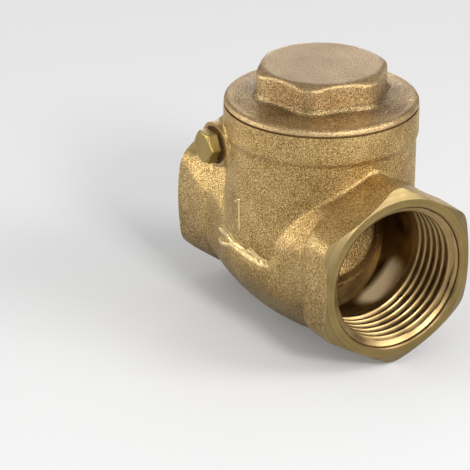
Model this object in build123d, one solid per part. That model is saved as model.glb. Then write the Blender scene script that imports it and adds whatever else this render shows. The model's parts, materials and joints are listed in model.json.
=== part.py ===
from build123d import *
import math
import os

# Swing non-return valve for a 1 inch parallel pipe thread.
# Frame: origin at the centre of the inlet face, +X along the flow, +Z up towards the cap. Millimetres.

# Pipe ends
hex_across_flats = 38.0        # spanner size of both pipe ends, corners up and down
hex_corner_radius = 4.0        # forged rounding along each hexagon corner
inlet_reach = 32.4             # barrel axis to inlet face
outlet_reach = 32.4            # barrel axis to outlet face
inlet_collar_length = 11.1     # length of the full hexagon from the inlet face
outlet_collar_length = 10.0
inlet_shoulder_radius = 19.6   # the inlet hexagon's corners are drafted down to this at its back
outlet_shoulder_radius = 20.9
face_bevel_angle = 60.0        # turned bevel that takes the corners off, from the end face
thread_minor_radius = 15.15    # crest radius of the internal pipe thread
lead_in_radius = 16.7          # plain counterbore ahead of the thread
lead_in_depth = 3.0
mouth_radius = 17.05           # outer edge of the small mouth chamfer
port_depth = 16.2              # end face to the inner end of the tapped bore

# Cast body
barrel_radius = 21.7
belly_proud = 0.2              # the belly is this much wider than the barrel above it
belly_end_radius = 18.2        # the belly tapers along the port axis in a long arc
belly_half_length = 24.0
neck_radius = 19.3             # round neck over the port axis, between the barrel and the ends
neck_scoop = 0.6               # both sides of the neck lie this much behind the hexagon's flats
neck_scoop_radius = 30.0       # seen from above
neck_scoop_reach = 19.0        # barrel axis to the middle of each scoop
body_wall = 3.3
ridge_floor = 15.2             # above this height the hexagon runs on into the barrel
joint_height = 31.2            # port axis to the top face of the body
ring_proud = 0.5               # thickened ring that carries the cap's thread
ring_height = 6.5
step_rise = 1.4                # slope of the step under the ring

# Cap and its gasket
cap_thread_proud = 0.1         # the cap's thread is this much wider than the well below it
cap_thread_clearance = 0.08
cap_thread_length = 5.5
cap_thread_bevel = 0.6         # lead-in at the foot of the cap's thread
gasket_thickness = 0.5
gasket_setback = 0.6           # from the edge of the ring
gasket_thread_gap = 0.4
cap_rim_setback = 0.1
cap_rim_thickness = 1.3
cap_rim_round = 0.8
cap_rim_edge = 0.4             # height of the rim's lower slope
cap_crown_rise = 1.0           # slope of the cap's top from the rim to the hexagon
cap_hex_across_flats = 28.0
cap_hex_corner_radius = 2.0
cap_hex_turn = 15.7            # direction of one hexagon corner, from +X
cap_hex_height = 6.5
cap_hex_bevel_angle = 30.0
cap_hex_bevel_radius = 13.4    # flat top inside the bevelled corners
cap_wall = 3.4
cap_relief_radius = 9.6        # top of the hollow under the hexagon

# Hinge
hinge_back = 10.5              # barrel axis to pin axis, towards the inlet
hinge_depth = 9.6              # joint face to pin axis
pin_radius = 2.0
pin_fit = 0.05                 # radial running clearance of the pin
pin_blind_depth = 1.5          # how far the pin enters the wall at either end
pin_end_gap = 0.3
boss_radius = 5.3
boss_proud = 0.3               # the boss's end face stands past the barrel's side

# Plug screw that closes the pin's hole
plug_shank_radius = 2.9
plug_shank_clearance = 0.08
plug_head_across_flats = 7.0
plug_head_length = 3.0
plug_head_bevel_radius = 3.3
plug_head_bevel_angle = 30.0
plug_recess_radius = 4.4
plug_recess_depth = 0.7
plug_washer_radius = 4.25
plug_washer_thickness = 0.9

# Seat
seat_tilt = 25.0               # the seat leans so that the clapper closes by its own weight
seat_offset = 1.0              # pin axis to seat plane, measured upstream
seat_band = 3.0                # the clapper's rim reaches past the seat bore by this much
seat_ring_width = 2.0
seat_ring_height = 0.8
seat_web = 3.2                 # thickness of the wall that carries the seat
inlet_roof = 12.9              # top of the space ahead of the seat
hinge_ledge_depth = 5.2        # pin axis to the floor of the pocket that the hinge eyes turn in

# Clapper and what is fixed to it
clapper_side_gap = 3.4         # clapper's rim to the well's wall
clapper_lip = 0.65             # rim that holds the seal in place
clapper_lip_setback = 0.6      # the lip stands back from the seal's working face
clapper_rim_thickness = 3.4
clapper_pad_setback = 2.6      # from the clapper's rim
clapper_pad_rise = 1.9
clapper_rim_land = 0.8         # flat left around the foot of the pad's slope
seal_thickness = 2.0
seal_clearance = 0.1
seat_contact_gap = 0.05
eye_radius = 3.6
eye_side_gap = 4.1             # outside of each eye to the well's wall
eye_width = 4.6
arm_thickness = 3.2
arm_foot_half_width = 8.5
stud_radius = 2.5
stud_fit = 0.1
stud_past_nut = 0.6
retainer_setback = 2.5         # from the seat bore
retainer_thickness = 1.0
nut_across_flats = 8.0
nut_thickness = 3.2

# Sizes that follow
centre_x = inlet_reach
overall_length = inlet_reach + outlet_reach
chamber_radius = barrel_radius - body_wall
belly_radius = barrel_radius + belly_proud
ring_radius = barrel_radius + ring_proud
boss_reach = barrel_radius + boss_proud
gasket_radius = ring_radius - gasket_setback
cap_rim_radius = ring_radius - cap_rim_setback
cap_thread_radius = chamber_radius + cap_thread_proud
clapper_radius = chamber_radius - clapper_side_gap
clapper_pad_radius = clapper_radius - clapper_pad_setback
seat_bore_radius = clapper_radius - seat_band
retainer_radius = seat_bore_radius - retainer_setback
belly_drop = (belly_radius - belly_end_radius) / belly_half_length**2
cap_bore_radius = cap_thread_radius + cap_thread_clearance
cap_bottom = joint_height - cap_thread_length
cap_seat = joint_height + gasket_thickness
cap_rim_top = cap_seat + cap_rim_thickness
cap_crown = cap_rim_top + cap_crown_rise
cap_top = cap_crown + cap_hex_height
hinge_x = centre_x - hinge_back
hinge_height = joint_height - hinge_depth
hinge_ledge = hinge_height - hinge_ledge_depth
step_height = joint_height - ring_height
seat_from_pin = (hinge_height - seat_offset * math.sin(math.radians(seat_tilt))) / math.cos(
    math.radians(seat_tilt)
)
seal_face = -seat_offset + seat_contact_gap
lip_face = seal_face + clapper_lip_setback
seal_back = seal_face + seal_thickness
rim_back = lip_face + clapper_rim_thickness
pad_back = rim_back + clapper_pad_rise
retainer_face = seal_face - retainer_thickness
nut_face = retainer_face - nut_thickness
pin_wall = math.sqrt(chamber_radius**2 - hinge_back**2)
pin_half = pin_wall + pin_blind_depth
eye_outer = pin_wall - eye_side_gap
far = 4 * barrel_radius


def about_z(points):
    """Turn a half outline, given as (radius, height), about the barrel's axis."""
    with BuildPart() as turned:
        with BuildSketch(Plane.XZ):
            with BuildLine():
                Polyline(*points, close=True)
            make_face()
        revolve(axis=Axis.Z)
    return Location((centre_x, 0, 0)) * turned.part


def about_x(points):
    """Turn a half outline, given as (distance along X, radius), about the port axis."""
    with BuildPart() as turned:
        with BuildSketch(Plane.XZ):
            with BuildLine():
                Polyline(*points, close=True)
            make_face()
        revolve(axis=Axis.X)
    return turned.part


def rod_y(radius, x, z, start, end):
    """Round bar along Y."""
    middle = (start + end) / 2
    return Pos(x, middle, z) * Rot(90, 0, 0) * Cylinder(radius, end - start)


def rod_z(radius, start, end):
    """Round bar along the barrel's axis."""
    middle = (start + end) / 2
    return Pos(centre_x, 0, middle) * Cylinder(radius, end - start)


def hex_prism(across_flats, corner_radius, start, end):
    """Upright hexagonal bar with rounded corners, one corner towards +X."""
    outline = RegularPolygon(across_flats / 2, 6, major_radius=False)
    if corner_radius:
        outline = fillet(outline.vertices(), corner_radius)
    return Pos(0, 0, start) * extrude(outline, end - start)


def in_clapper_frame(shape):
    """Place a shape modelled with the pin at the origin and the disc hanging straight down."""
    return Pos(hinge_x, 0, hinge_height) * Rot(0, -seat_tilt, 0) * shape


def disc_bar(radius, start, end):
    """Round bar square to the seat, centred on it, in the clapper's own frame."""
    middle = (start + end) / 2
    return Pos(middle, 0, -seat_from_pin) * Rot(0, 90, 0) * Cylinder(radius, end - start)


def behind_plane(offset):
    """Everything downstream of a plane parallel to the seat."""
    return in_clapper_frame(Pos(offset + far, 0, 0) * Box(2 * far, 2 * far, 2 * far))


def ahead_of_plane(offset):
    """Everything upstream of a plane parallel to the seat."""
    return in_clapper_frame(Pos(offset - far, 0, 0) * Box(2 * far, 2 * far, 2 * far))


def pipe_end(length, shoulder_radius):
    """Hexagonal end with its turned face, from the face at zero towards +X."""
    prism = Rot(0, 90, 0) * hex_prism(hex_across_flats, hex_corner_radius, 0, length)
    flat_radius = hex_across_flats / 2
    corner = hex_across_flats / math.sqrt(3)
    bevel_depth = (corner - flat_radius) * math.tan(math.radians(90 - face_bevel_angle))
    envelope = about_x(
        [(0, 0), (0, flat_radius), (bevel_depth, corner), (length, shoulder_radius), (length, 0)]
    )
    return prism & envelope


def belly(radius, half_length):
    """Long barrel shape along the port axis, widest under the barrel."""
    end_radius = radius - belly_drop * half_length**2
    with BuildPart() as turned:
        with BuildSketch(Plane.XZ):
            with BuildLine():
                ThreePointArc((-half_length, end_radius), (0, radius), (half_length, end_radius))
                Polyline(
                    (half_length, end_radius),
                    (half_length, 0),
                    (-half_length, 0),
                    (-half_length, end_radius),
                )
            make_face()
        revolve(axis=Axis.X)
    return Pos(centre_x, 0, 0) * turned.part


def neck():
    """Belly under the port axis and a slimmer neck over it, drawn in a little at the sides."""
    below = Pos(centre_x, 0, -far / 2) * Box(far, far, far)
    above = Pos(centre_x, 0, far / 2) * Box(far, far, far)
    pipe = Pos(centre_x, 0, 0) * Rot(0, 90, 0) * Cylinder(neck_radius, 2 * belly_half_length)
    shape = (belly(belly_radius, belly_half_length) & below) + (pipe & above)
    scoop_centre = hex_across_flats / 2 - neck_scoop + neck_scoop_radius
    for along in (-neck_scoop_reach, neck_scoop_reach):
        for across in (-scoop_centre, scoop_centre):
            shape -= Pos(centre_x + along, across, 0) * Cylinder(neck_scoop_radius, 2 * far)
    return shape


def roof():
    """Everything under the two upper flats of the pipe ends."""
    apex = hex_across_flats / math.sqrt(3)
    side = 2 * barrel_radius
    eaves = apex - side * math.tan(math.radians(30))
    outline = Polygon(
        (0, apex), (-side, eaves), (-side, -side), (side, -side), (side, eaves), align=None
    )
    return extrude(Plane.YZ * outline, overall_length)


def ridge():
    """The top corner of the hexagon, carried through from end to end."""
    start = inlet_collar_length / 4
    end = overall_length - outlet_collar_length / 4
    prism = Rot(0, 90, 0) * hex_prism(hex_across_flats, hex_corner_radius, start, end)
    return prism & Pos(centre_x, 0, ridge_floor + far / 2) * Box(2 * far, 2 * far, far)


def body_outside():
    """Barrel on a belly, two hexagonal ends, and the pin boss."""
    barrel = about_z(
        [
            (0, 0),
            (barrel_radius, 0),
            (barrel_radius, step_height - step_rise),
            (ring_radius, step_height),
            (ring_radius, joint_height),
            (0, joint_height),
        ]
    )
    inlet_end = pipe_end(inlet_collar_length, inlet_shoulder_radius)
    outlet_end = pipe_end(outlet_collar_length, outlet_shoulder_radius)
    outlet_end = Pos(overall_length, 0, 0) * Rot(0, 0, 180) * outlet_end
    middle = (neck() & roof()) + ridge()
    boss = rod_y(boss_radius, hinge_x, hinge_height, -boss_reach, -hinge_back)
    return barrel + middle + inlet_end + outlet_end + boss


def port_bore():
    """Mouth chamfer, plain lead-in and tapped bore, from the face at zero."""
    chamfer_depth = mouth_radius - lead_in_radius
    lead_in_end = lead_in_depth - (lead_in_radius - thread_minor_radius)
    return about_x(
        [
            (-1, 0),
            (-1, mouth_radius),
            (0, mouth_radius),
            (chamfer_depth, lead_in_radius),
            (lead_in_end, lead_in_radius),
            (lead_in_depth, thread_minor_radius),
            (port_depth, thread_minor_radius),
            (port_depth, 0),
        ]
    )


def cavity():
    """Cored space inside the belly, between the inner ends of the two tapped bores."""
    return belly(belly_radius - body_wall, inlet_reach - port_depth)


def chamber():
    """Space behind the seat, open at the top for the cap."""
    well = rod_z(chamber_radius, 0, joint_height) + cavity()
    web_back = -seat_offset - seat_ring_height
    pocket_height = joint_height - hinge_ledge
    pocket = Pos(centre_x, 0, hinge_ledge + pocket_height / 2) * Box(far, far, pocket_height)
    return well & (behind_plane(web_back) + pocket)


def inlet_space():
    """Space ahead of the seat, cored to an even wall."""
    web_front = -seat_offset - seat_ring_height - seat_web
    ceiling = Pos(centre_x, 0, inlet_roof - far / 2) * Box(far, far, far)
    return cavity() & ahead_of_plane(web_front) & ceiling


def body():
    web_back = -seat_offset - seat_ring_height
    seat_ring_radius = seat_bore_radius + seat_ring_width
    bore_start = web_back - 2 * seat_web
    shell = body_outside()
    shell -= chamber()
    shell -= inlet_space()
    shell += in_clapper_frame(disc_bar(seat_ring_radius, web_back - seat_web / 2, -seat_offset))
    shell -= in_clapper_frame(disc_bar(seat_bore_radius, bore_start, -seat_offset + 1))
    shell -= port_bore()
    shell -= Pos(overall_length, 0, 0) * Rot(0, 0, 180) * port_bore()
    shell -= rod_z(cap_bore_radius, cap_bottom - 1, joint_height + 1)
    shell -= rod_y(pin_radius + pin_fit, hinge_x, hinge_height, -boss_reach, pin_half + pin_end_gap)
    shank_end = -pin_half - pin_end_gap
    shank_bore = plug_shank_radius + plug_shank_clearance
    shell -= rod_y(shank_bore, hinge_x, hinge_height, -boss_reach - 1, shank_end)
    recess_floor = -boss_reach + plug_recess_depth
    shell -= rod_y(plug_recess_radius, hinge_x, hinge_height, -boss_reach - 1, recess_floor)
    return shell


def cap():
    """Screwed cap: hollow plug, rim with a rolled edge, sloping top and a forged hexagon."""
    hex_radius = cap_hex_across_flats / 2
    neck_round = cap_rim_round * (1 - math.cos(math.radians(45)))
    turned = about_z(
        [
            (0, cap_bottom),
            (cap_thread_radius - cap_thread_bevel, cap_bottom),
            (cap_thread_radius, cap_bottom + cap_thread_bevel),
            (cap_thread_radius, cap_seat),
            (gasket_radius, cap_seat),
            (cap_rim_radius, cap_seat + cap_rim_edge),
            (cap_rim_radius, cap_rim_top - cap_rim_round),
            (cap_rim_radius - neck_round, cap_rim_top - neck_round),
            (cap_rim_radius - cap_rim_round, cap_rim_top),
            (hex_radius, cap_crown),
            (0, cap_crown),
        ]
    )
    head = hex_prism(cap_hex_across_flats, cap_hex_corner_radius, cap_rim_top, cap_top)
    head = Pos(centre_x, 0, 0) * Rot(0, 0, cap_hex_turn) * head
    corner = hex_radius / math.cos(math.radians(30))
    bevel_drop = (corner - cap_hex_bevel_radius) * math.tan(math.radians(cap_hex_bevel_angle))
    envelope = about_z(
        [
            (0, cap_rim_top - 1),
            (corner, cap_rim_top - 1),
            (corner, cap_top - bevel_drop),
            (cap_hex_bevel_radius, cap_top),
            (0, cap_top),
        ]
    )
    hollow_radius = cap_thread_radius - cap_wall
    hollow = about_z(
        [
            (0, cap_bottom - 1),
            (hollow_radius, cap_bottom - 1),
            (hollow_radius, cap_rim_top - cap_wall),
            (cap_relief_radius, cap_crown),
            (cap_relief_radius, cap_top - cap_wall),
            (0, cap_top - cap_wall),
        ]
    )
    return turned + (head & envelope) - hollow


def cap_gasket():
    ring = rod_z(gasket_radius, joint_height, cap_seat)
    return ring - rod_z(cap_thread_radius + gasket_thread_gap, joint_height, cap_seat)


def hinge_pin():
    return rod_y(pin_radius, hinge_x, hinge_height, -pin_half, pin_half)


def pin_plug():
    """Hexagon-head screw with a bevelled head."""
    seat = boss_reach - plug_recess_depth + plug_washer_thickness
    tip = pin_half + 2 * pin_end_gap
    head = hex_prism(plug_head_across_flats, 0, 0, plug_head_length)
    corner = plug_head_across_flats / math.sqrt(3)
    drop = (corner - plug_head_bevel_radius) * math.tan(math.radians(plug_head_bevel_angle))
    bevel = Cone(
        corner, plug_head_bevel_radius, drop, align=(Align.CENTER, Align.CENTER, Align.MIN)
    )
    straight = Cylinder(
        corner, plug_head_length - drop, align=(Align.CENTER, Align.CENTER, Align.MIN)
    )
    head = head & (straight + Pos(0, 0, plug_head_length - drop) * bevel)
    head = Pos(hinge_x, -seat, hinge_height) * Rot(90, 0, 0) * head
    return head + rod_y(plug_shank_radius, hinge_x, hinge_height, -seat, -tip)


def plug_washer():
    outer = -boss_reach + plug_recess_depth - plug_washer_thickness
    inner = -boss_reach + plug_recess_depth
    ring = rod_y(plug_washer_radius, hinge_x, hinge_height, outer, inner)
    hole = plug_shank_radius + plug_shank_clearance
    return ring - rod_y(hole, hinge_x, hinge_height, outer, inner)


def clapper():
    """Forged disc, arm, two hinge eyes and the stud, in one piece."""
    seal_radius = clapper_radius - clapper_lip
    disc = disc_bar(clapper_radius, lip_face, rim_back)
    shoulder = Pos((rim_back + pad_back) / 2, 0, -seat_from_pin) * Rot(0, 90, 0) * Cone(
        clapper_radius - clapper_rim_land, clapper_pad_radius, pad_back - rim_back
    )
    recess = disc_bar(seal_radius, lip_face - 1, seal_back)
    stud = disc_bar(stud_radius, nut_face - stud_past_nut, seal_back)
    eye_inner = eye_outer - eye_width
    arm_front = rim_back - arm_thickness
    foot = seat_from_pin - clapper_pad_radius
    arm_outline = Polygon(
        (eye_outer, 0),
        (-eye_outer, 0),
        (-eye_outer, -eye_radius),
        (-arm_foot_half_width, -foot),
        (arm_foot_half_width, -foot),
        (eye_outer, -eye_radius),
        align=None,
    )
    arm = extrude(Plane.YZ.offset(arm_front) * arm_outline, arm_thickness)
    eyes = Rot(90, 0, 0) * Cylinder(eye_radius, 2 * eye_outer)
    gap = Box(4 * eye_radius, 2 * eye_inner, 4 * eye_radius)
    blank = disc + shoulder - recess
    blank += stud
    hinge = (arm + eyes) - gap
    hinge -= disc_bar(seal_radius, -far, seal_back)
    shape = blank + hinge
    shape -= Rot(90, 0, 0) * Cylinder(pin_radius + pin_fit, 3 * eye_outer)
    return in_clapper_frame(shape)


def disc_seal():
    radius = clapper_radius - clapper_lip - seal_clearance
    ring = disc_bar(radius, seal_face, seal_back)
    return in_clapper_frame(ring - disc_bar(stud_radius + stud_fit, seal_face, seal_back))


def seal_retainer():
    ring = disc_bar(retainer_radius, retainer_face, seal_face)
    return in_clapper_frame(ring - disc_bar(stud_radius + stud_fit, retainer_face, seal_face))


def retainer_nut():
    nut = Rot(0, 90, 0) * hex_prism(nut_across_flats, 0, 0, nut_thickness)
    nut = Pos(nut_face, 0, -seat_from_pin) * nut
    return in_clapper_frame(nut - disc_bar(stud_radius + stud_fit / 2, nut_face, retainer_face))


os.makedirs("parts", exist_ok=True)
pieces = {
    "body": body,
    "cap": cap,
    "cap_gasket": cap_gasket,
    "hinge_pin": hinge_pin,
    "pin_plug": pin_plug,
    "plug_washer": plug_washer,
    "clapper": clapper,
    "disc_seal": disc_seal,
    "seal_retainer": seal_retainer,
    "retainer_nut": retainer_nut,
}
for name, make in pieces.items():
    export_step(make(), f"parts/{name}.step")
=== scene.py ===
import json
import math

import bpy
import numpy as np
from mathutils import Matrix, Vector
from mathutils.bvhtree import BVHTree

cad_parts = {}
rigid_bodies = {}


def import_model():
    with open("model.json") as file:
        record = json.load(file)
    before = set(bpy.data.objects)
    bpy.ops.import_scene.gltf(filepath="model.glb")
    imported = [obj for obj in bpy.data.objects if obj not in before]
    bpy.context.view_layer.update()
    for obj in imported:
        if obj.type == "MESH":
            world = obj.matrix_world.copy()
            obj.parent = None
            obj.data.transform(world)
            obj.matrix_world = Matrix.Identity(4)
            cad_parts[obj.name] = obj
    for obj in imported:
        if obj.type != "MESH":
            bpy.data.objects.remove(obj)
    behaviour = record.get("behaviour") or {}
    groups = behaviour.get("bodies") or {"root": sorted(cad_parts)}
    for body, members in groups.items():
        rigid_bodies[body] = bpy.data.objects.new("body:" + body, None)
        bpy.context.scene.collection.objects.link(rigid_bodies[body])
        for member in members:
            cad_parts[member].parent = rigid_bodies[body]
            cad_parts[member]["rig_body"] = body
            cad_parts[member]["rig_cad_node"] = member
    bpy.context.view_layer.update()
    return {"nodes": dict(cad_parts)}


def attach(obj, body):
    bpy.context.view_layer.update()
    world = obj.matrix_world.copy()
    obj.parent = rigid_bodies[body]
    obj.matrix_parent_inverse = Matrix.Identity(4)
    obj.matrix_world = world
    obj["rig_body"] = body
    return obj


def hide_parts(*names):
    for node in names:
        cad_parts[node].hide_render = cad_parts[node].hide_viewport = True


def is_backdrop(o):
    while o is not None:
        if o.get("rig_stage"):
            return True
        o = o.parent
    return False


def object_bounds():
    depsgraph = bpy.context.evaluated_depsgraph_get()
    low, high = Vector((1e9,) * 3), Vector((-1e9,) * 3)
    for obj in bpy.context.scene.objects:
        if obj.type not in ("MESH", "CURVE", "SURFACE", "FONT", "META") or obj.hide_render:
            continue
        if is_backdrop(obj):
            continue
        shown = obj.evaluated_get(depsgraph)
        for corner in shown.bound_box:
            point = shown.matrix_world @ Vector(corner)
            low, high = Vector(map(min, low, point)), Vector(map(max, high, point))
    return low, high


# Swing non-return valve, 1 inch. Shapes below are written in millimetres and turned to metres at the end.

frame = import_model()
nodes = frame["nodes"]

MM = 0.001

# Sizes in millimetres, the solids' own but for three that follow the photo: where the end face's bevel
# starts, the depth of the lead-in, and the worn corners of the cap's hexagon.
REACH = 32.4                # barrel axis to either end face
HEX_FLATS = 38.0
HEX_CORNER = 4.0
INLET_COLLAR = 11.1
INLET_SHOULDER = 19.6       # the collar's corners taper to this radius
OUTLET_COLLAR = 10.0
OUTLET_SHOULDER = 20.9
HEX_POINT = HEX_FLATS / math.sqrt(3)  # where a sharp corner would be
BEVEL_START = 18.85         # the turned bevel begins at this radius on the end face
BEVEL_ANGLE = 60.0
CREST = 15.15               # crest radius of the pipe thread
LEAD_IN = 16.7              # smooth band ahead of the thread
LEAD_IN_DEPTH = 1.9
MOUTH = 17.05
MOUTH_CHAMFER = 0.375
BORE_DEPTH = 16.2
WELL = 20.5                 # runs into the barrel's wall, and the solid trims it
BARREL = 21.7
BELLY = 21.9
BELLY_DROP = 0.00642        # fall of the belly's radius per square millimetre from the barrel axis
NECK = 19.3                 # round neck over the port axis
SCOOP = (30.0, 48.4, 19.0)  # sides of the neck: radius seen from above, its centre along Y and X
RING = 22.2                 # thickened top of the barrel
STEP = 24.7                 # height where the ring begins
JOINT = 31.2                # height of the casting's top face
HINGE = (-10.5, 21.6)       # pin axis from the barrel axis along X, and above the port axis
HINGE_PIN = (REACH + HINGE[0], 0, HINGE[1])
BOSS = 5.3
BOSS_FACE = -22.0
BOSS_RECESS = (4.4, 0.7)    # radius and depth
PLUG_BORE = 3.0             # a hair wider than in the solid
PLUG_HEAD = 7.0
PLUG_LENGTH = 3.0
PLUG_SHANK = 2.9
PLUG_TIP = -17.21
WASHER = 0.9
HEAD_BEVEL = 30.0           # on top of both hexagon heads, outside these flat radii
PLUG_FLAT = 3.3
CAP_FLAT = 13.4
SEAT_LEAN = 25.0            # the clapper seat faces this far above the port axis
CAP_SEAT = 31.7
CAP_RIM = 22.1
CAP_RIM_TOP = 33.0
CAP_CROWN = 34.0
CAP_TOP = 40.5
CAP_HEX = 28.0
CAP_CORNER = 5.5
CAP_TURN = 15.7             # direction of one hexagon corner, in degrees from +X
CAP_FOOT = 25.7
CAP_HOLLOW = (15.1, 9.6)    # radius at its foot and at its top
CAP_WALL = 3.4

# Pipe thread: 11 turns to the inch, a rounded 55 degree form
THREAD_PITCH = 2.309
THREAD_DEPTH = 1.479

# Screw thread between cap and casting
CAP_PITCH = 1.5
CAP_THREAD = 18.5
CAP_DEPTH = 0.75
THREAD_FIT = 0.08

# The axes that most turned forms stand on
BARREL_AXIS = ("Z", (REACH, 0, 0))
HINGE_AXIS = ("Y", HINGE_PIN)

# Camera: found by fitting the valve's round and hexagonal edges to the photo
AZIMUTH, ELEVATION, ROLL = 56.638, 24.52, 0.959
DISTANCE = 597.0
FOCAL = 2580.6              # in pixels of a picture 470 wide
PICTURE = 470.0
AIM = (319.30, 226.87)      # where the barrel axis crosses the port axis in the picture


def add(tree, kind, inputs=None, **settings):
    """Add a node, set its choices, fill or wire its inputs, and give its outputs."""
    node = tree.nodes.new(kind)
    for key, value in settings.items():
        setattr(node, key, value)
    for key, value in (inputs or {}).items():
        if isinstance(value, bpy.types.NodeSocket):
            tree.links.new(value, node.inputs[key])
        else:
            node.inputs[key].default_value = value
    return node.outputs


def maths(tree, operation, *values):
    return add(tree, "ShaderNodeMath", dict(enumerate(values)), operation=operation)[0]


def spread(tree, value, low, high, start=0.0, end=1.0, **settings):
    """Turn the range from low to high into the range from start to end, held there past its ends."""
    inputs = {"Value": value, "From Min": low, "From Max": high, "To Min": start, "To Max": end}
    return add(tree, "ShaderNodeMapRange", inputs, **settings)["Result"]


def blend(tree, share, a, b):
    return add(tree, "ShaderNodeMix", {"Factor": share, "A": a, "B": b}, data_type="RGBA")["Result"]


def dimmed(tree, colour, share):
    return add(tree, "ShaderNodeVectorMath", {0: colour, "Scale": share}, operation="SCALE")["Vector"]


def from_point(tree, where, point):
    """Distance from a point that is given in millimetres."""
    return add(tree, "ShaderNodeVectorMath", {
        0: where, 1: tuple(c * MM for c in point)}, operation="DISTANCE")["Value"]


def noise(tree, where, size, detail, roughness=0.5):
    """Soft random tone whose patches are about this many millimetres wide."""
    return add(tree, "ShaderNodeTexNoise", {
        "Vector": where, "Scale": 1 / (size * MM), "Detail": detail, "Roughness": roughness})["Fac"]


def bumped(tree, height, depth):
    """Bump from a tone, this many millimetres deep."""
    return add(tree, "ShaderNodeBump", {"Height": height, "Strength": 1.0, "Distance": depth * MM})["Normal"]


def add_mesh(name, points, faces):
    mesh = bpy.data.meshes.new(name)
    mesh.from_pydata([tuple(p) for p in points], [], [tuple(f) for f in faces])
    mesh.update()
    piece = bpy.data.objects.new(name, mesh)
    bpy.context.scene.collection.objects.link(piece)
    return piece


def settle(piece):
    """Turn a piece's modifiers into its own mesh."""
    graph = bpy.context.evaluated_depsgraph_get()
    mesh = bpy.data.meshes.new_from_object(piece.evaluated_get(graph))
    piece.modifiers.clear()
    piece.data = mesh
    return piece


def drop(*pieces):
    for piece in pieces:
        bpy.data.objects.remove(piece)


def wrap(rings, name):
    """Close a stack of equal rings of points into a solid whose faces point outwards."""
    rings = np.asarray(rings, float)
    count, around = rings.shape[:2]
    points = list(rings.reshape(-1, 3))
    first, last = len(points), len(points) + 1
    points += [rings[0].mean(0), rings[-1].mean(0)]
    faces = []
    for j in range(around):
        k = (j + 1) % around
        faces += [(i * around + j, i * around + k, (i + 1) * around + k, (i + 1) * around + j)
                  for i in range(count - 1)]
        faces.append((k, j, first))
        faces.append(((count - 1) * around + j, (count - 1) * around + k, last))
    corners = np.array(points)
    volume = sum(
        np.dot(corners[f[0]], np.cross(corners[f[i]], corners[f[i + 1]]))
        for f in faces for i in range(1, len(f) - 1)
    )
    if volume < 0:
        faces = [f[::-1] for f in faces]
    return add_mesh(name, points, faces)


def turned(name, profile, axis, centre=(0, 0, 0), around=160):
    """Turn a profile of (distance along the axis, radius) about X, Y or Z."""
    angles = np.linspace(0, 2 * math.pi, around, endpoint=False)
    rings = []
    for along, radius in profile:
        u, v = radius * np.cos(angles), radius * np.sin(angles)
        w = np.full(around, along)
        place = {"X": (w, u, v), "Y": (v, w, u), "Z": (u, v, w)}[axis]
        rings.append(np.stack(place, 1) + np.array(centre))
    return wrap(rings, name)


def join(name, *pieces):
    """One object that holds all the pieces' meshes."""
    points, faces = [], []
    for piece in pieces:
        start = len(points)
        points += [tuple(v.co) for v in piece.data.vertices]
        faces += [[start + i for i in p.vertices] for p in piece.data.polygons]
    drop(*pieces)
    return add_mesh(name, points, faces)


def soften(piece, voxel, smoothing):
    """Fuse overlapping forms into one skin with a forging's rounded edges."""
    remesh = piece.modifiers.new("skin", "REMESH")
    remesh.mode = "VOXEL"
    remesh.voxel_size = voxel
    smooth = piece.modifiers.new("rounding", "SMOOTH")
    smooth.factor = 0.5
    smooth.iterations = smoothing
    return settle(piece)


def cut(piece, tool, operation="DIFFERENCE", solver="MANIFOLD"):
    boolean = piece.modifiers.new("cut", "BOOLEAN")
    boolean.operation = operation
    boolean.solver = solver
    boolean.object = tool
    boolean.material_mode = "TRANSFER"
    settle(piece)
    drop(tool)
    return piece


def paint(piece, material):
    piece.data.materials.clear()
    piece.data.materials.append(material)
    return piece


def from_node(node, name):
    """A closed copy of a CAD node's mesh, in millimetres."""
    piece = nodes[node].copy()
    piece.data = nodes[node].data.copy()
    piece.name = piece.data.name = name
    piece.parent = None
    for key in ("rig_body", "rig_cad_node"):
        if key in piece:
            del piece[key]
    bpy.context.scene.collection.objects.link(piece)
    piece.data.materials.clear()
    piece.data.transform(Matrix.Scale(1 / MM, 4))
    weld = piece.modifiers.new("weld", "WELD")
    weld.merge_threshold = 0.0005
    return settle(piece)


def crisp_borders(mesh):
    """Keep a turned face sharp against the finish beside it."""
    finish = np.empty(len(mesh.polygons), int)
    corners = np.empty(len(mesh.polygons), int)
    edge = np.empty(len(mesh.loops), int)
    sharp = np.empty(len(mesh.edges), bool)
    mesh.polygons.foreach_get("material_index", finish)
    mesh.polygons.foreach_get("loop_total", corners)
    mesh.loops.foreach_get("edge_index", edge)
    mesh.edges.foreach_get("use_edge_sharp", sharp)
    finish = np.repeat(finish, corners)
    low, high = np.full(len(sharp), 99), np.full(len(sharp), -1)
    np.minimum.at(low, edge, finish)
    np.maximum.at(high, edge, finish)
    mesh.edges.foreach_set("use_edge_sharp", sharp | (low != high))


def finish_piece(piece, body, slot, *stands_for, sharp=32):
    """Back to metres, smooth shading with crisp machined edges, and the piece's place in the model."""
    piece.data.transform(Matrix.Scale(MM, 4))
    piece.data.shade_smooth()
    piece.data.set_sharp_from_angle(angle=math.radians(sharp))
    crisp_borders(piece.data)
    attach(piece, body)
    if stands_for:
        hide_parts(*stands_for)
    return piece


def smoothstep(low, high, x):
    t = np.clip((x - low) / (high - low), 0, 1)
    return t * t * (3 - 2 * t)


def mix(a, b, share):
    return a + (b - a) * share


def hexagon(angle, flats, corner):
    """Distance from the centre to a hexagon with rounded corners, one flat facing angle zero."""
    off = np.abs((angle + math.pi / 6) % (math.pi / 3) - math.pi / 6)
    half = flats / 2
    centre = (half - corner) / math.cos(math.pi / 6)
    turn = math.pi / 6 - off
    rounded = centre * np.cos(turn) + np.sqrt(np.maximum(0, corner**2 - (centre * np.sin(turn)) ** 2))
    on_flat = half * np.tan(off) <= (half - corner) * math.tan(math.pi / 6)
    return np.where(on_flat, half / np.cos(off), rounded)


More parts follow.
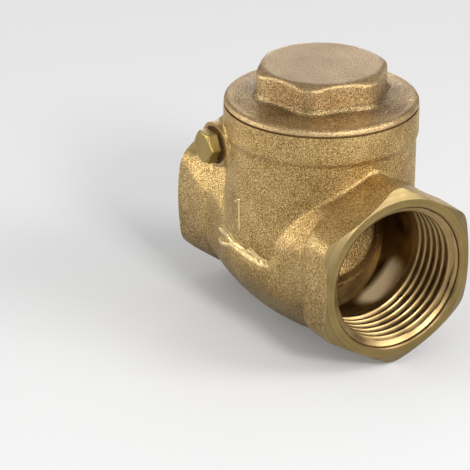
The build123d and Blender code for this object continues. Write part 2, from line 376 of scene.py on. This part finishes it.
def srgb(code):
    """A written hex colour as the linear values that the shader takes."""
    parts = [int(code[i:i + 2], 16) / 255 for i in (0, 2, 4)]
    return [c / 12.92 if c <= 0.04045 else ((c + 0.055) / 1.055) ** 2.4 for c in parts] + [1.0]


# Materials


def new_material(name):
    material = bpy.data.materials.new(name)
    material.use_nodes = True
    tree = material.node_tree
    tree.nodes.clear()
    return material, tree


def finish_material(tree, colour, roughness, metallic, bump=None, shine=0.5):
    """Wire colour, gloss and bump into the shader. A plain number is set on the shader's own socket."""
    inputs = {"Base Color": colour, "Roughness": roughness, "Metallic": metallic}
    if bump is not None:
        inputs["Normal"] = bump
    shader = add(tree, "ShaderNodeBsdfPrincipled", inputs)
    shader[0].node.inputs["Specular IOR Level"].default_value = shine
    add(tree, "ShaderNodeOutputMaterial", {"Surface": shader[0]})


def blasted_brass(name, dark, plain, bright, grain=0.27, relief=0.12, rub=(0.515, 0.58), film=None, low=1.0):
    """Hot brass after shot blasting. Speckle of peened dents, drawn as fine as the picture can show,
    slow clouds of tone 6 to 12 mm wide, and rubbed corners that shine through. A film is the dull bloom
    on top of the cap; with it comes painted shade, darkest at the hexagon's foot and fading out towards
    the rim. Low is painted shade as well: the colour darkens towards the bottom."""
    material, tree = new_material(name)
    where = add(tree, "ShaderNodeTexCoord")["Object"]
    speckle = noise(tree, where, grain, 2.0, 0.6)
    dents = add(tree, "ShaderNodeTexVoronoi", {
        "Vector": where, "Scale": 1 / (0.55 * MM), "Randomness": 1.0}, feature="SMOOTH_F1")["Distance"]
    clouds = noise(tree, where, 9, 3.0, 0.55)
    tone = maths(tree, "MULTIPLY", speckle, 0.8)
    tone = maths(tree, "MULTIPLY_ADD", clouds, 0.2, tone)
    ramp = add(tree, "ShaderNodeValToRGB", {"Fac": tone})
    stops = ramp[0].node.color_ramp.elements
    stops[0].position, stops[0].color = 0.38, srgb(dark)
    stops[1].position, stops[1].color = 0.62, srgb(bright)
    middle = stops.new(0.5)
    middle.color = srgb(plain)
    edge = add(tree, "ShaderNodeNewGeometry")["Pointiness"]
    rubbed = spread(tree, edge, rub[0], rub[1], 0.0, 0.75)
    colour = blend(tree, rubbed, ramp["Color"], srgb(bright))
    height = add(tree, "ShaderNodeSeparateXYZ", {0: where})["Z"]
    if film:
        bloom = spread(tree, height, (CAP_TOP - 1.2) * MM, (CAP_TOP - 0.2) * MM, 0.0, 0.5)
        colour = blend(tree, bloom, colour, srgb(film))
        # Painted shade, darkest at the hexagon's foot and fading out over the sloping top towards the rim
        around = from_point(tree, where, (REACH, 0, CAP_RIM_TOP))
        around = maths(tree, "MULTIPLY_ADD", clouds, 5 * MM, around)
        painted_foot_shade = spread(tree, around, 17.5 * MM, 22.5 * MM, 0.62, 1.0)
        above = spread(tree, height, (CAP_CROWN + 0.2) * MM, (CAP_CROWN + 1.6) * MM)
        painted_foot_shade = maths(tree, "MAXIMUM", painted_foot_shade, above)
        colour = dimmed(tree, colour, painted_foot_shade)
    if low < 1:
        # Painted shade: the colour darkens towards the bottom, down to the share given by low
        painted_underside_shade = spread(tree, height, -16 * MM, 4 * MM, low, 1.0)
        colour = dimmed(tree, colour, painted_underside_shade)
    gloss = spread(tree, tone, 0.35, 0.65, 0.56, 0.40)
    gloss = spread(tree, rubbed, 0.0, 1.0, gloss, 0.33)
    pits = maths(tree, "MULTIPLY_ADD", dents, 0.6, speckle)
    finish_material(tree, colour, gloss, 1.0, bumped(tree, pits, relief))
    return material


def cored_brass(name, dark, plain, bright):
    """Smooth hot-formed inside of the belly: brown scale, with a painted pool of light, pale and matt, on the
    walls past the seat where they bulge most.
    """
    material, tree = new_material(name)
    where = add(tree, "ShaderNodeTexCoord")["Object"]
    clouds = noise(tree, where, 7, 3.0)
    colour = blend(tree, spread(tree, clouds, 0.38, 0.62), srgb(dark), srgb(plain))
    # A painted pool of light, pale and matt, on both side walls just past the seat
    spots = [from_point(tree, where, (REACH + 9.0, side * 11.7, -13.5)) for side in (-1, 1)]
    nearest = maths(tree, "MINIMUM", *spots)
    nearest = maths(tree, "MULTIPLY_ADD", clouds, 4 * MM, nearest)
    painted_light_pool = spread(tree, nearest, 6.5 * MM, 10.5 * MM, 1.0, 0.0, interpolation_type="SMOOTHSTEP")
    along = add(tree, "ShaderNodeSeparateXYZ", {0: where})["X"]
    past_seat = spread(tree, along, (REACH + 4.9) * MM, (REACH + 7.5) * MM)
    painted_light_pool = maths(tree, "MULTIPLY", painted_light_pool, past_seat)
    colour = blend(tree, painted_light_pool, colour, srgb(bright))
    gloss = spread(tree, clouds, 0.0, 1.0, 0.34, 0.5)
    metal = spread(tree, painted_light_pool, 0.0, 1.0, 0.9, 0.0)
    finish_material(tree, colour, gloss, metal, bumped(tree, clouds, 0.15))
    return material


def machined_brass(name, dark, bright, rough, axis, relief=0.012):
    """Brass from a lathe tool: rings round the tool's axis and a faint clouding. Real tool marks are too
    fine to show, so the rings lie 1.1 mm apart: the texture turns 20 radians to its unit of 3.6 mm."""
    material, tree = new_material(name)
    where = add(tree, "ShaderNodeTexCoord")["Object"]
    centre = {"X": (0, 0, 0), "Y": HINGE_PIN, "Z": (REACH, 0, 0)}[axis]
    local = add(tree, "ShaderNodeVectorMath", {
        0: where, 1: tuple(c * MM for c in centre)}, operation="SUBTRACT")["Vector"]
    rings = add(tree, "ShaderNodeTexWave", {
        "Vector": local, "Scale": 1 / (3.6 * MM), "Distortion": 1.2, "Detail": 1.0,
        "Detail Scale": 1.0}, wave_type="RINGS", rings_direction=axis)["Fac"]
    clouds = noise(tree, where, 3.5, 4.0)
    tone = maths(tree, "MULTIPLY_ADD", rings, 0.25, clouds)
    colour = blend(tree, tone, srgb(dark), srgb(bright))
    gloss = spread(tree, clouds, 0.3, 0.7, rough * 0.8, rough * 1.25)
    finish_material(tree, colour, gloss, 1.0, bumped(tree, rings, relief))
    return material


def moulded(name, code, rough, relief):
    """Rubber or pressed fibre: matt, with a fine even tooth."""
    material, tree = new_material(name)
    tooth = noise(tree, add(tree, "ShaderNodeTexCoord")["Object"], 0.3, 3.0)
    pale = [min(1.0, c * 1.6 + 0.01) for c in srgb(code)[:3]] + [1.0]
    colour = blend(tree, tooth, srgb(code), pale)
    gloss = spread(tree, tooth, 0.0, 1.0, rough - 0.1, rough + 0.1)
    finish_material(tree, colour, gloss, 0.0, bumped(tree, tooth, relief), shine=0.15)
    return material


def drawn_steel(name, dark, bright):
    """Bar pulled through a die: streaks along Y, a quarter of a millimetre wide and 3 mm long."""
    material, tree = new_material(name)
    stretched = add(tree, "ShaderNodeMapping", {
        "Vector": add(tree, "ShaderNodeTexCoord")["Object"], "Scale": (4000, 300, 4000)})[0]
    streaks = add(tree, "ShaderNodeTexNoise", {"Vector": stretched, "Scale": 1.0, "Detail": 3.0})["Fac"]
    colour = blend(tree, streaks, srgb(dark), srgb(bright))
    finish_material(tree, colour, spread(tree, streaks, 0.0, 1.0, 0.22, 0.42), 1.0)
    return material


# The casting's blasted skin, with painted shade towards its bottom, and its raised marks, which hands and
# boxes have rubbed pale and which are painted paler still as a highlight
forged = blasted_brass("forged_brass_skin", "725a32", "aa8c57", "dabf88", low=0.4)
worn_mark_painted_highlight = blasted_brass("rubbed_marks_painted_highlight", "b89c66", "d8be86", "f0dcac", relief=0.06)
# The cap's blast is redder, with a dull film on top and painted shade round its hexagon's foot, and the
# clapper's is coarser
cap_skin = blasted_brass("cap_blasted_brass", "745b3a", "a4865a", "d2b88a", rub=(0.512, 0.56), film="9c8566")
clapper_skin = blasted_brass("clapper_blasted_brass", "7a6038", "a58450", "d0b07a", grain=0.4)
# The palest colour here is the painted pool of light inside
cored = cored_brass("cored_brass_inside", "60421f", "b08a52", "ffe6b8")
# Faces that a tool has cut: duller and greener on the ends, brighter inside the threads and the cap's joint
faced = machined_brass("turned_end_faces", "786639", "958154", 0.42, "X", relief=0.004)
bevelled = machined_brass("turned_bevels", "6f603c", "94815a", 0.46, "X", relief=0.006)
tapped = machined_brass("tapped_thread", "7a6140", "ac9264", 0.34, "X", relief=0.002)
seated = machined_brass("turned_cap_joint", "8f7a46", "b59d64", 0.32, "Z")
seat_face = machined_brass("turned_seat", "5f4828", "8a6f42", 0.36, "X", relief=0.003)
drilled = machined_brass("turned_boss_face", "8c7448", "b69a66", 0.38, "Y")
screw_brass = machined_brass("plug_screw_brass", "83703c", "a68e57", 0.42, "Y", relief=0.001)
inner_brass = machined_brass("retainer_brass", "a08248", "d2b06c", 0.3, "X")
bar_steel = drawn_steel("drawn_pin_steel", "9a9a98", "c8c8c6")
washer_rubber = moulded("dark_rubber", "432c17", 0.9, 0.03)
gasket_fibre = moulded("pressed_fibre", "6a5236", 0.8, 0.04)


def thread_tree():
    """A bar with a helical ridge. It may start plain, as a chamfer and a smooth band."""
    tree = bpy.data.node_groups.new("Thread bar", "GeometryNodeTree")
    face = tree.interface
    face.new_socket("Geometry", in_out="OUTPUT", socket_type="NodeSocketGeometry")
    for name in ("Groove radius", "Ridge", "Pitch", "Start", "Length", "Plain", "Fade in", "Fade out",
                 "Mouth radius", "Chamfer", "Band radius", "Band depth"):
        face.new_socket(name, in_out="INPUT", socket_type="NodeSocketFloat")
    face.new_socket("Around", in_out="INPUT", socket_type="NodeSocketInt")
    face.new_socket("Along", in_out="INPUT", socket_type="NodeSocketInt")
    face.new_socket("Turn", in_out="INPUT", socket_type="NodeSocketVector")
    face.new_socket("Place", in_out="INPUT", socket_type="NodeSocketVector")
    face.new_socket("Finish", in_out="INPUT", socket_type="NodeSocketMaterial")
    given = add(tree, "NodeGroupInput")
    bar = add(tree, "GeometryNodeMeshCylinder", {
        "Vertices": given["Around"], "Side Segments": given["Along"], "Radius": 1.0,
        "Depth": given["Length"]})["Mesh"]
    spot = add(tree, "ShaderNodeSeparateXYZ", {0: add(tree, "GeometryNodeInputPosition")[0]})
    half = maths(tree, "MULTIPLY", given["Length"], 0.5)
    from_start = maths(tree, "ADD", spot["Z"], half)
    along = maths(tree, "ADD", from_start, given["Start"])
    angle = maths(tree, "ARCTAN2", spot["Y"], spot["X"])
    turns = maths(tree, "DIVIDE", angle, 2 * math.pi)
    pitches = maths(tree, "DIVIDE", along, given["Pitch"])
    phase = maths(tree, "SUBTRACT", pitches, turns)
    wave = maths(tree, "PINGPONG", phase, 0.5)
    # Flanks part rounded and part straight, and a ridge that is narrower than the gap beside it
    flank = spread(tree, wave, 0.055, 0.445, interpolation_type="SMOOTHSTEP")
    straight = spread(tree, wave, 0.055, 0.445)
    form = add(tree, "ShaderNodeMix", {"Factor": 0.35, "A": flank, "B": straight})["Result"]
    form = maths(tree, "POWER", form, 1.5)
    # The ridge grows out of the bar past its plain start, and dies away before its end
    past_plain = maths(tree, "SUBTRACT", from_start, given["Plain"])
    opening = spread(tree, past_plain, 0.0, given["Fade in"])
    left = maths(tree, "SUBTRACT", given["Length"], from_start)
    closing = spread(tree, left, 0.0, given["Fade out"])
    form = maths(tree, "MULTIPLY", form, opening)
    form = maths(tree, "MULTIPLY", form, closing)
    radius = maths(tree, "MULTIPLY_ADD", form, given["Ridge"], given["Groove radius"])
    # The chamfer narrows to the band, and the band to the bar over its last millimetre
    chamfer = spread(tree, along, 0.0, given["Chamfer"], given["Mouth radius"], given["Band radius"])
    band_end = maths(tree, "SUBTRACT", given["Band depth"], 1.0)
    narrowing = spread(tree, along, band_end, given["Band depth"])
    fall = maths(tree, "SUBTRACT", given["Groove radius"], given["Band radius"])
    band = maths(tree, "MULTIPLY_ADD", narrowing, fall, chamfer)
    radius = maths(tree, "MAXIMUM", radius, band)
    across = maths(tree, "MULTIPLY", maths(tree, "COSINE", angle), radius)
    beside = maths(tree, "MULTIPLY", maths(tree, "SINE", angle), radius)
    point = add(tree, "ShaderNodeCombineXYZ", {"X": across, "Y": beside, "Z": along})[0]
    shaped = add(tree, "GeometryNodeSetPosition", {"Geometry": bar, "Position": point})[0]
    placed = add(tree, "GeometryNodeTransform", {
        "Geometry": shaped, "Translation": given["Place"], "Rotation": given["Turn"]})[0]
    real = add(tree, "GeometryNodeRealizeInstances", {"Geometry": placed})[0]
    done = add(tree, "GeometryNodeSetMaterial", {"Geometry": real, "Material": given["Finish"]})[0]
    add(tree, "NodeGroupOutput", {"Geometry": done})
    return tree


thread = thread_tree()


def from_tree(name, tree, values):
    """Run a Geometry Nodes tree with these inputs and keep its result as a plain mesh."""
    piece = add_mesh(name, [], [])
    run = piece.modifiers.new("form", "NODES")
    run.node_group = tree
    for item in tree.interface.items_tree:
        if item.in_out == "INPUT":
            run[item.identifier] = values[item.name]
    return settle(piece)


def pipe_thread(name, face, turn, finish):
    """Cutter for one tapped end: chamfer, smooth lead-in, then the thread, inwards from its end face."""
    before = 1.0
    return from_tree(name, thread, {
        "Groove radius": CREST, "Ridge": THREAD_DEPTH, "Pitch": THREAD_PITCH, "Start": -before,
        "Length": before + BORE_DEPTH + 0.175, "Plain": before + LEAD_IN_DEPTH - 1.6, "Fade in": 0.8,
        "Fade out": 3.2, "Mouth radius": MOUTH, "Chamfer": MOUTH_CHAMFER, "Band radius": LEAD_IN,
        "Band depth": LEAD_IN_DEPTH, "Around": 116, "Along": 139, "Turn": (0, turn, 0), "Place": (face, 0, 0),
        "Finish": finish})


def cap_screw(name, radius, low, high, finish):
    return from_tree(name, thread, {
        "Groove radius": radius - CAP_DEPTH, "Ridge": CAP_DEPTH, "Pitch": CAP_PITCH, "Start": low,
        "Length": high - low, "Plain": 0.0, "Fade in": 0.8, "Fade out": 0.8, "Mouth radius": 0.0,
        "Chamfer": 1.0, "Band radius": 0.0, "Band depth": 1.0, "Around": 128, "Along": 48,
        "Turn": (0, 0, 0), "Place": (REACH, 0, 0), "Finish": finish})


def bevel_depth(corner):
    """How far along the port axis the turned bevel has come when it reaches a corner's radius."""
    return (corner - BEVEL_START) * math.tan(math.radians(90 - BEVEL_ANGLE))


def run_form():
    """The two hexagonal ends and the belly between them, as one distance round the port axis."""
    angles = np.linspace(0, 2 * math.pi, 288, endpoint=False)
    full = hexagon(angles, HEX_FLATS, HEX_CORNER)
    from_top = np.degrees(np.abs((angles - math.pi / 2 + math.pi) % (2 * math.pi) - math.pi))
    bevel = bevel_depth(HEX_POINT)
    rings = []
    for u in np.arange(-REACH - 1, REACH + 1.01, 0.55):
        over = np.where(from_top <= 30, full, np.minimum(full, NECK))
        under = BELLY - BELLY_DROP * u * u
        neck = mix(over, under, smoothstep(82, 112, from_top))
        bend, centre, middle = SCOOP
        side = centre - math.sqrt(bend**2 - (abs(u) - middle) ** 2)
        neck = np.minimum(neck, side / np.maximum(np.abs(np.cos(angles)), 0.3))
        length, shoulder = (OUTLET_COLLAR, OUTLET_SHOULDER) if u > 0 else (INLET_COLLAR, INLET_SHOULDER)
        back = REACH - length
        depth = np.clip(REACH - abs(u) - bevel, 0, length - bevel)
        cone = mix(HEX_POINT, shoulder, depth / (length - bevel))
        collar = np.maximum(np.minimum(full, cone), neck)
        share = smoothstep(back - 0.9, back + 0.5, abs(u))
        radius = mix(neck, collar, share)
        rings.append(np.stack([
            np.full_like(angles, u + REACH), radius * np.cos(angles), radius * np.sin(angles)], 1))
    return wrap(rings, "run")


def valve_casting():
    """Forged skin first, then every face that a tool cuts, each cutter in the finish that it leaves."""
    length = 2 * REACH
    barrel = turned("barrel", [
        (0, BARREL), (STEP - 0.4, BARREL), (STEP, RING), (JOINT + 1.5, RING)], *BARREL_AXIS, 240)
    boss = turned("boss", [
        (-12, 9.0), (-15.0, 7.2), (-17.2, 6.0), (-19.0, 5.5), (-20, BOSS), (BOSS_FACE - 1, BOSS)],
        *HINGE_AXIS, 96)
    skin = soften(join("valve_body_casting", run_form(), barrel, boss), 0.49, 2)
    paint(skin, forged)
    corner = HEX_POINT + 0.2
    bevel = bevel_depth(corner)
    ends = turned("ends", [
        (0, BEVEL_START), (bevel, corner), (bevel, 60), (length - bevel, 60), (length - bevel, corner),
        (length, BEVEL_START)], "X")
    paint(ends, faced)
    ends.data.materials.append(bevelled)
    for polygon in ends.data.polygons:
        polygon.material_index = int(0.1 < abs(polygon.normal.x) < 0.99)
    cut(skin, ends, "INTERSECT")
    cut(skin, paint(turned("top", [(JOINT, 30), (JOINT + 9, 30)], *BARREL_AXIS), seated))
    recess_radius, recess_depth = BOSS_RECESS
    face = turned("face", [
        (BOSS_FACE - 8, 8), (BOSS_FACE, 8), (BOSS_FACE, recess_radius),
        (BOSS_FACE + recess_depth, recess_radius), (BOSS_FACE + recess_depth, PLUG_BORE), (-17.0, PLUG_BORE)],
        *HINGE_AXIS, 96)
    cut(skin, paint(face, drilled))
    # The space inside is the well and the gallery less the solid's own walls, seat and ledges
    well = turned("well", [(0, WELL), (STEP - 0.1, WELL)], *BARREL_AXIS)
    reach = REACH - BORE_DEPTH - 0.05
    gallery = turned("gallery", [
        (REACH + u, BELLY - 3.0 - BELLY_DROP * u * u) for u in np.linspace(-reach, reach, 25)], "X")
    space = cut(well, gallery, "UNION")
    paint(space, cored)
    solid = paint(from_node("body", "solid"), cored)
    solid.data.materials.append(seat_face)
    lean = Vector((math.cos(math.radians(SEAT_LEAN)), 0, math.sin(math.radians(SEAT_LEAN))))
    for polygon in solid.data.polygons:
        polygon.material_index = int(abs(polygon.normal.dot(lean)) > 0.999)
    cut(space, solid, solver="EXACT")
    cut(skin, space)
    cut(skin, pipe_thread("inlet_thread", 0, math.pi / 2, tapped))
    cut(skin, pipe_thread("outlet_thread", length, -math.pi / 2, tapped))
    cut(skin, cap_screw("bonnet_thread", CAP_THREAD + THREAD_FIT, STEP - 0.25, JOINT + 1, seated))
    return skin


def to_stroke(x, z, a, b, half):
    """How far inside a round-ended stroke from a to b each point lies."""
    a, b = np.array(a), np.array(b)
    along = b - a
    share = np.clip(((x - a[0]) * along[0] + (z - a[1]) * along[1]) / (along @ along), 0, 1)
    return half - np.hypot(x - a[0] - share * along[0], z - a[1] - share * along[1])


def to_outline(x, z, corners):
    """How far inside an outline each point lies, less than zero outside it."""
    near = np.full_like(x, 99.0)
    inside = np.zeros(x.shape, bool)
    for (ax, az), (bx, bz) in zip(corners, corners[1:] + corners[:1]):
        near = np.minimum(near, -to_stroke(x, z, (ax, az), (bx, bz), 0))
        if az != bz:
            crossed = ((az > z) != (bz > z)) & (x < (bx - ax) * (z - az) / (bz - az) + ax)
            inside ^= crossed
    return np.where(inside, near, -near)


def ease(grid, times):
    """Move each inner value of a grid towards its neighbours."""
    for _ in range(times):
        beside = grid[:-2, 1:-1] + grid[2:, 1:-1] + grid[1:-1, :-2] + grid[1:-1, 2:]
        grid[1:-1, 1:-1] = (beside + 2 * grid[1:-1, 1:-1]) / 6


def unit(vectors):
    return vectors / np.linalg.norm(vectors, axis=2, keepdims=True)


def raised_mark(name, casting, low, high, inside, relief, edge, step=0.16):
    """A raised cast mark on the -Y side, laid onto the casting's skin and sunk into it at its border.
    `inside` gives each point of the X-Z plane its distance inside the mark."""
    xs = np.arange(low[0], high[0], step)
    zs = np.arange(low[1], high[1], step)
    grid_x, grid_z = np.meshgrid(xs, zs, indexing="ij")
    rough = sum(
        np.sin(grid_x * a + b) * np.sin(grid_z * c + d)
        for a, b, c, d in ((2.1, 0.4, 2.6, 1.9), (4.3, 2.2, 3.7, 0.3), (7.9, 1.1, 8.8, 2.7))
    )
    depth = inside(grid_x, grid_z) + 0.03 * rough
    height = relief * smoothstep(-0.1, edge, depth) * (1 + 0.02 * rough)
    ease(height, 2)
    height -= 0.1
    skin = BVHTree.FromObject(casting, bpy.context.evaluated_depsgraph_get())
    spots = np.array([[tuple(skin.ray_cast((REACH + x, -60, z), (0, 1, 0))[0]) for z in zs] for x in xs])
    ease(spots, 10)
    out = unit(np.cross(np.gradient(spots, axis=0), np.gradient(spots, axis=1)))
    out *= np.where(out[..., 1:2] > 0, -1, 1)
    # A mark leans out and a little up, as the tool that formed it was drawn off
    out = unit(out + (0, -1.0, 0.3))
    points = (spots + out * height[..., None]).reshape(-1, 3)
    keep = depth > -0.4
    faces = []
    for i in range(len(xs) - 1):
        for j in range(len(zs) - 1):
            if keep[i:i + 2, j:j + 2].all():
                a = i * len(zs) + j
                faces.append((a, a + len(zs), a + len(zs) + 1, a + 1))
    used = sorted({v for f in faces for v in f})
    index = {v: k for k, v in enumerate(used)}
    piece = add_mesh(name, points[used], [[index[v] for v in f] for f in faces])
    wall = piece.modifiers.new("wall", "SOLIDIFY")
    wall.thickness, wall.offset = 0.6, -1
    settle(piece)
    paint(piece, worn_mark_painted_highlight)
    return finish_piece(piece, "valve_body", "forged_brass", sharp=60)


def arrow(x, z):
    """A thick flow arrow with a split tail and a chisel cut across its head."""
    form = to_outline(x, z, [
        (-12.8, 0.0), (-9.0, 1.0), (-5.0, 1.6), (-3.0, 1.0), (2.6, 0.4), (4.1, 1.5), (7.4, 0.0), (9.8, -1.7),
        (7.8, -2.7), (3.0, -2.9), (-5.4, -2.6), (-10.6, -4.2), (-12.8, -3.6), (-12.2, -2.6), (-6.5, -1.5),
        (-12.4, -1.0)])
    return np.minimum(form, 0.3 - to_stroke(x, z, (3.8, 0.6), (6.6, -1.2), 0.2))


def numeral(x, z):
    """A thin upright stroke with a short worn flag at its top."""
    stem = to_stroke(x, z, (0.1, 4.4), (0.1, 12.0), 0.17)
    return np.maximum(stem, to_stroke(x, z, (0.1, 11.9), (-1.4, 11.0), 0.34))


def cap_forging():
    """Rolled rim, sloping top and a hexagon with worn corners that spreads at its foot."""
    rim = turned("rim", [
        (CAP_SEAT - 1.2, CAP_RIM), (CAP_RIM_TOP - 0.8, CAP_RIM), (CAP_RIM_TOP - 0.25, CAP_RIM - 0.35),
        (CAP_RIM_TOP, CAP_RIM - 1.1), (CAP_RIM_TOP - 0.12, CAP_RIM - 1.9), (CAP_CROWN + 0.15, CAP_HEX / 2)],
        *BARREL_AXIS, 240)
    angles = np.linspace(0, 2 * math.pi, 240, endpoint=False)
    outline = hexagon(angles - math.radians(CAP_TURN) + math.pi / 6, CAP_HEX, CAP_CORNER)
    rings = []
    for z in (CAP_SEAT, 33.4, 33.9, 34.3, 34.8, 35.4, 36.2, 37.5, 38.4, 38.9, 39.4, 39.8, 40.2, CAP_TOP):
        flare = 0.45 * max(0, (35.2 - z) / 1.2) ** 2 if z < 35.2 else 0
        worn = CAP_FLAT + (CAP_TOP - z) / math.tan(math.radians(HEAD_BEVEL))
        radius = np.minimum(outline + min(flare, 0.5), worn)
        rings.append(np.stack([
            REACH + radius * np.cos(angles), radius * np.sin(angles), np.full_like(angles, z)], 1))
    piece = soften(join("valve_cap", rim, wrap(rings, "head")), 0.35, 7)
    paint(piece, cap_skin)
    cut(piece, paint(turned("under", [(20, 30), (CAP_SEAT, 30)], *BARREL_AXIS), seated))
    cut(piece, cap_screw("cap_thread", CAP_THREAD, CAP_FOOT, CAP_SEAT + 0.4, seated), "UNION")
    wide, narrow = CAP_HOLLOW
    hollow = turned("hollow", [
        (CAP_FOOT - 1, wide), (CAP_RIM_TOP - CAP_WALL, wide), (CAP_CROWN, narrow),
        (CAP_TOP - CAP_WALL, narrow)], *BARREL_AXIS)
    cut(piece, paint(hollow, seated))
    return finish_piece(piece, "cap", "cap_brass", "cap")


def plug_screw():
    """Small hexagon-head screw, its edges rounded in a tumbler."""
    seat = BOSS_FACE + BOSS_RECESS[1] - WASHER
    angles = np.linspace(0, 2 * math.pi, 96, endpoint=False)
    outline = hexagon(angles + math.pi / 6, PLUG_HEAD, 0.25)
    rings = []
    for depth in (0, 0.3, 1.2, 2.0, 2.3, 2.6, 2.8, 2.93, PLUG_LENGTH):
        radius = np.minimum(outline, PLUG_FLAT + (PLUG_LENGTH - depth) / math.tan(math.radians(HEAD_BEVEL)))
        radius = radius - 0.12 * (depth in (0, PLUG_LENGTH))
        rings.append(np.stack([
            HINGE_PIN[0] + radius * np.cos(angles), np.full_like(angles, seat - depth),
            HINGE_PIN[2] + radius * np.sin(angles)], 1))
    shank = turned("shank", [(seat - 0.5, PLUG_SHANK), (PLUG_TIP, PLUG_SHANK)], *HINGE_AXIS, 64)
    head = soften(wrap(rings, "plug_screw"), 0.14, 2)
    paint(head, screw_brass)
    cut(head, paint(shank, screw_brass), "UNION")
    return finish_piece(head, "valve_body", "turned_brass", "pin_plug")


def clapper_forging():
    piece = soften(from_node("clapper", "clapper_forging"), 0.3, 2)
    paint(piece, clapper_skin)
    return finish_piece(piece, "clapper", "clapper_brass", "clapper")


casting = valve_casting()
raised_mark("flow_arrow", casting, (-14, -5.4), (11.2, 2.8), arrow, 0.95, 0.5)
raised_mark("size_numeral", casting, (-3.2, 3.4), (1.3, 13.2), numeral, 0.55, 0.18, 0.09)
finish_piece(casting, "valve_body", "forged_brass", "body")
cap_forging()
plug_screw()
clapper_forging()
# These look right as the solids show them, so each only gets its finish
for node, finish in {
    "cap_gasket": gasket_fibre, "hinge_pin": bar_steel, "plug_washer": washer_rubber,
    "disc_seal": washer_rubber, "seal_retainer": inner_brass, "retainer_nut": inner_brass,
}.items():
    for slot in nodes[node].material_slots:
        slot.material = finish


# Camera at the photo's place


def place_camera():
    a, e, roll = (math.radians(v) for v in (AZIMUTH, ELEVATION, ROLL))
    back = Vector((math.sin(a) * math.cos(e), -math.cos(a) * math.cos(e), math.sin(e)))
    level = Vector((math.cos(a), math.sin(a), 0))
    up = back.cross(level)
    right = level * math.cos(roll) + up * math.sin(roll)
    top = up * math.cos(roll) - level * math.sin(roll)
    dx, dy = (AIM[0] - PICTURE / 2) / FOCAL, -(AIM[1] - PICTURE / 2) / FOCAL
    z = (back + dx * right + dy * top).normalized()
    x = (right - right.dot(z) * z).normalized()
    y = z.cross(x)
    at = (Vector((REACH, 0, 0)) + back * DISTANCE) * MM
    data = bpy.data.cameras.new("view")
    data.lens = data.sensor_width * FOCAL / PICTURE
    data.clip_start, data.clip_end = 0.01, 20
    camera = bpy.data.objects.new("view", data)
    camera.matrix_world = Matrix((
        (x.x, y.x, z.x, at.x), (x.y, y.y, z.y, at.y), (x.z, y.z, z.z, at.z), (0, 0, 0, 1)))
    bpy.context.scene.collection.objects.link(camera)
    bpy.context.scene.camera = camera


place_camera()


# Floor, studio and lamps


def studio():
    floor = add_mesh("floor", [(-4, -4, 0), (4, -4, 0), (4, 4, 0), (-4, 4, 0)], [(0, 1, 2, 3)])
    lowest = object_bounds()[0][2]
    floor.data.transform(Matrix.Translation((0, 0, lowest - 0.0001)))
    material, tree = new_material("studio_floor")
    rays = add(tree, "ShaderNodeLightPath")
    seen = maths(tree, "MAXIMUM", rays["Is Camera Ray"], rays["Is Glossy Ray"])
    seen = maths(tree, "MAXIMUM", seen, rays["Is Transmission Ray"])
    glow = maths(tree, "MULTIPLY", seen, 0.05)
    plain = add(tree, "ShaderNodeBsdfDiffuse", {"Color": (0.6, 0.6, 0.6, 1)})[0]
    lit = add(tree, "ShaderNodeEmission", {"Color": (1, 1, 1, 1), "Strength": glow})[0]
    both = add(tree, "ShaderNodeAddShader", {0: plain, 1: lit})[0]
    add(tree, "ShaderNodeOutputMaterial", {"Surface": both})
    paint(floor, material)
    floor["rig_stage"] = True
    world = bpy.data.worlds.new("studio")
    bpy.context.scene.world = world
    world.use_nodes = True
    tree = world.node_tree
    tree.nodes.clear()
    rays = add(tree, "ShaderNodeLightPath")
    spot = add(tree, "ShaderNodeSeparateXYZ", {0: add(tree, "ShaderNodeTexCoord")["Generated"]})
    # Brighter overhead than at the horizon, and plain white behind the valve
    sky = spread(tree, spot["Z"], 0.1, 0.45, 0.25, 0.62)
    shown = add(tree, "ShaderNodeMix", {"Factor": rays["Is Camera Ray"], "A": sky, "B": 1.0})["Result"]
    light = add(tree, "ShaderNodeBackground", {"Color": (1, 1, 1, 1), "Strength": shown})[0]
    add(tree, "ShaderNodeOutputWorld", {"Surface": light})


LAMP_DISTANCE = 0.75


def lamp(name, turn, rise, size, strength):
    """A soft box: degrees to the right of the camera and above the floor, size in metres."""
    around, up = math.radians(AZIMUTH + turn), math.radians(rise)
    way = Vector((math.sin(around) * math.cos(up), -math.cos(around) * math.cos(up), math.sin(up)))
    data = bpy.data.lights.new(name, "AREA")
    data.shape = "RECTANGLE"
    data.size, data.size_y = size
    data.energy = strength * math.pi * size[0] * size[1]
    piece = bpy.data.objects.new(name, data)
    piece.location = Vector((REACH * MM, 0, 0)) + LAMP_DISTANCE * way
    piece.rotation_euler = (-way).to_track_quat("-Z", "Y").to_euler()
    bpy.context.scene.collection.objects.link(piece)


studio()
lamp("right", 72, 33, (0.35, 0.35), 8.0)
lamp("left", -84, 17, (0.65, 0.25), 7.0)
lamp("front", 33, 14, (0.35, 0.25), 1.5)
lamp("mouth", 27, 32, (0.15, 0.15), 46.0)
lamp("back", 180, 12, (0.35, 0.25), 4.0)

bpy.context.scene.view_settings.view_transform = "Standard"
